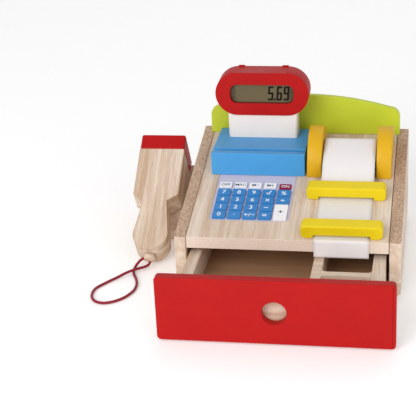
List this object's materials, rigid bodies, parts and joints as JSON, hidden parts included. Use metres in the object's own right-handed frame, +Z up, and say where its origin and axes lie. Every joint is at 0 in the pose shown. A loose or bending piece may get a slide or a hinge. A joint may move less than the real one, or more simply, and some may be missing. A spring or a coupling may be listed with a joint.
{
  "type": "toy cash register",
  "caption": "Wooden toy till with a pull-out coin drawer, calculator keypad, display on a pillar, card slot, paper roll with guides, and a hand scanner on a rest.",
  "frame": {"origin": "centre of the footprint of the whole set with the drawer standing open, on the floor", "axes": "+Z up, the drawer opens towards -Y, the scanner lies on the -X side"},
  "size_m": [0.3181, 0.3096, 0.1866],
  "materials": {
    "beech": "fine sanded, clear lacquer",
    "plywood": "sanded, unpainted",
    "red_paint": "smooth red paint on wood, satin",
    "blue_paint": "smooth blue paint on wood, satin",
    "green_paint": "smooth yellow-green paint on wood, satin",
    "yellow_paint": "smooth yellow paint on wood, satin",
    "orange_paint": "smooth orange-yellow paint on wood, satin",
    "white_paint": "smooth off-white paint on wood, satin",
    "foot_rubber": "soft, matt",
    "keypad_plastic": "fine matt moulding",
    "white_key": "moulded, satin",
    "blue_key": "moulded, satin",
    "red_key": "moulded, satin",
    "mat_rubber": "matt",
    "circuit": "lacquered board",
    "clear_window": "clear, polished",
    "lcd": "smooth",
    "steel": "plain",
    "ribbon": "plain",
    "paper": "matt",
    "card_tube": "matt",
    "cord": "braided"
  },
  "bodies": {
    "case": {"side_panels": "beech", "top_board": "beech", "drawer_stop": "beech", "scanner_rest": "beech", "roll_axle": "beech", "back_panel": "plywood", "bottom_board": "plywood", "display_housing": "red_paint", "display_back_cover": "red_paint", "card_block": "blue_paint", "back_board": "green_paint", "paper_guides": "yellow_paint", "roll_uprights": "orange_paint", "display_pillar": "white_paint", "feet": "foot_rubber", "keypad_plate": "keypad_plastic", "key_mat": "mat_rubber", "key_circuit": "circuit", "lcd_window": "clear_window", "lcd_module": "lcd", "button_cells": "steel", "cover_screws": "steel", "ribbon_cable": "ribbon", "paper_strip": "paper"},
    "drawer": {"drawer_front": "red_paint", "drawer_box_front": "beech", "drawer_sides": "beech", "drawer_back": "beech", "drawer_floor": "plywood", "coin_tray": "beech"},
    "paper": {"paper_roll": "paper", "paper_core": "card_tube"},
    "scanner": {"scanner_body": "beech", "scanner_cap": "red_paint", "cord_peg": "beech", "wrist_cord": "cord"},
    "key_off": {"key_off": "white_key"},
    "key_recall": {"key_recall": "white_key"},
    "key_memory_minus": {"key_memory_minus": "white_key"},
    "key_memory_plus": {"key_memory_plus": "white_key"},
    "key_on": {"key_on": "red_key"},
    "key_7": {"key_7": "blue_key"},
    "key_8": {"key_8": "blue_key"},
    "key_9": {"key_9": "blue_key"},
    "key_root": {"key_root": "blue_key"},
    "key_percent": {"key_percent": "blue_key"},
    "key_4": {"key_4": "blue_key"},
    "key_5": {"key_5": "blue_key"},
    "key_6": {"key_6": "blue_key"},
    "key_times": {"key_times": "blue_key"},
    "key_divide": {"key_divide": "blue_key"},
    "key_1": {"key_1": "blue_key"},
    "key_2": {"key_2": "blue_key"},
    "key_3": {"key_3": "blue_key"},
    "key_minus": {"key_minus": "blue_key"},
    "key_0": {"key_0": "blue_key"},
    "key_point": {"key_point": "blue_key"},
    "key_sign": {"key_sign": "blue_key"},
    "key_equals": {"key_equals": "blue_key"},
    "key_plus": {"key_plus": "white_key"}
  },
  "joints": [
    {"name": "drawer_slide", "type": "slide", "parent": "case", "child": "drawer", "axis": [0, -1, 0], "range_m": [-0.093, 0.025]},
    {"name": "paper_spin", "type": "hinge", "parent": "case", "child": "paper", "pos_m": [0.08881, 0.09092, 0.10489], "axis": [1, 0, 0], "continuous": true},
    {"name": "scanner_lift", "type": "slide", "parent": "case", "child": "scanner", "axis": [0, 0, 1], "range_m": [0, 0.25]},
    {"name": "press_off", "type": "slide", "parent": "case", "child": "key_off", "axis": [0, 0.2079, -0.9781], "range_m": [0, 0.0011], "stiffness_N_per_m": 400},
    {"name": "press_recall", "type": "slide", "parent": "case", "child": "key_recall", "axis": [0, 0.2079, -0.9781], "range_m": [0, 0.0011], "stiffness_N_per_m": 400},
    {"name": "press_memory_minus", "type": "slide", "parent": "case", "child": "key_memory_minus", "axis": [0, 0.2079, -0.9781], "range_m": [0, 0.0011], "stiffness_N_per_m": 400},
    {"name": "press_memory_plus", "type": "slide", "parent": "case", "child": "key_memory_plus", "axis": [0, 0.2079, -0.9781], "range_m": [0, 0.0011], "stiffness_N_per_m": 400},
    {"name": "press_on", "type": "slide", "parent": "case", "child": "key_on", "axis": [0, 0.2079, -0.9781], "range_m": [0, 0.0011], "stiffness_N_per_m": 400},
    {"name": "press_7", "type": "slide", "parent": "case", "child": "key_7", "axis": [0, 0.2079, -0.9781], "range_m": [0, 0.0011], "stiffness_N_per_m": 400},
    {"name": "press_8", "type": "slide", "parent": "case", "child": "key_8", "axis": [0, 0.2079, -0.9781], "range_m": [0, 0.0011], "stiffness_N_per_m": 400},
    {"name": "press_9", "type": "slide", "parent": "case", "child": "key_9", "axis": [0, 0.2079, -0.9781], "range_m": [0, 0.0011], "stiffness_N_per_m": 400},
    {"name": "press_root", "type": "slide", "parent": "case", "child": "key_root", "axis": [0, 0.2079, -0.9781], "range_m": [0, 0.0011], "stiffness_N_per_m": 400},
    {"name": "press_percent", "type": "slide", "parent": "case", "child": "key_percent", "axis": [0, 0.2079, -0.9781], "range_m": [0, 0.0011], "stiffness_N_per_m": 400},
    {"name": "press_4", "type": "slide", "parent": "case", "child": "key_4", "axis": [0, 0.2079, -0.9781], "range_m": [0, 0.0011], "stiffness_N_per_m": 400},
    {"name": "press_5", "type": "slide", "parent": "case", "child": "key_5", "axis": [0, 0.2079, -0.9781], "range_m": [0, 0.0011], "stiffness_N_per_m": 400},
    {"name": "press_6", "type": "slide", "parent": "case", "child": "key_6", "axis": [0, 0.2079, -0.9781], "range_m": [0, 0.0011], "stiffness_N_per_m": 400},
    {"name": "press_times", "type": "slide", "parent": "case", "child": "key_times", "axis": [0, 0.2079, -0.9781], "range_m": [0, 0.0011], "stiffness_N_per_m": 400},
    {"name": "press_divide", "type": "slide", "parent": "case", "child": "key_divide", "axis": [0, 0.2079, -0.9781], "range_m": [0, 0.0011], "stiffness_N_per_m": 400},
    {"name": "press_1", "type": "slide", "parent": "case", "child": "key_1", "axis": [0, 0.2079, -0.9781], "range_m": [0, 0.0011], "stiffness_N_per_m": 400},
    {"name": "press_2", "type": "slide", "parent": "case", "child": "key_2", "axis": [0, 0.2079, -0.9781], "range_m": [0, 0.0011], "stiffness_N_per_m": 400},
    {"name": "press_3", "type": "slide", "parent": "case", "child": "key_3", "axis": [0, 0.2079, -0.9781], "range_m": [0, 0.0011], "stiffness_N_per_m": 400},
    {"name": "press_minus", "type": "slide", "parent": "case", "child": "key_minus", "axis": [0, 0.2079, -0.9781], "range_m": [0, 0.0011], "stiffness_N_per_m": 400},
    {"name": "press_0", "type": "slide", "parent": "case", "child": "key_0", "axis": [0, 0.2079, -0.9781], "range_m": [0, 0.0011], "stiffness_N_per_m": 400},
    {"name": "press_point", "type": "slide", "parent": "case", "child": "key_point", "axis": [0, 0.2079, -0.9781], "range_m": [0, 0.0011], "stiffness_N_per_m": 400},
    {"name": "press_sign", "type": "slide", "parent": "case", "child": "key_sign", "axis": [0, 0.2079, -0.9781], "range_m": [0, 0.0011], "stiffness_N_per_m": 400},
    {"name": "press_equals", "type": "slide", "parent": "case", "child": "key_equals", "axis": [0, 0.2079, -0.9781], "range_m": [0, 0.0011], "stiffness_N_per_m": 400},
    {"name": "press_plus", "type": "slide", "parent": "case", "child": "key_plus", "axis": [0, 0.2079, -0.9781], "range_m": [0, 0.0011], "stiffness_N_per_m": 400}
  ]
}
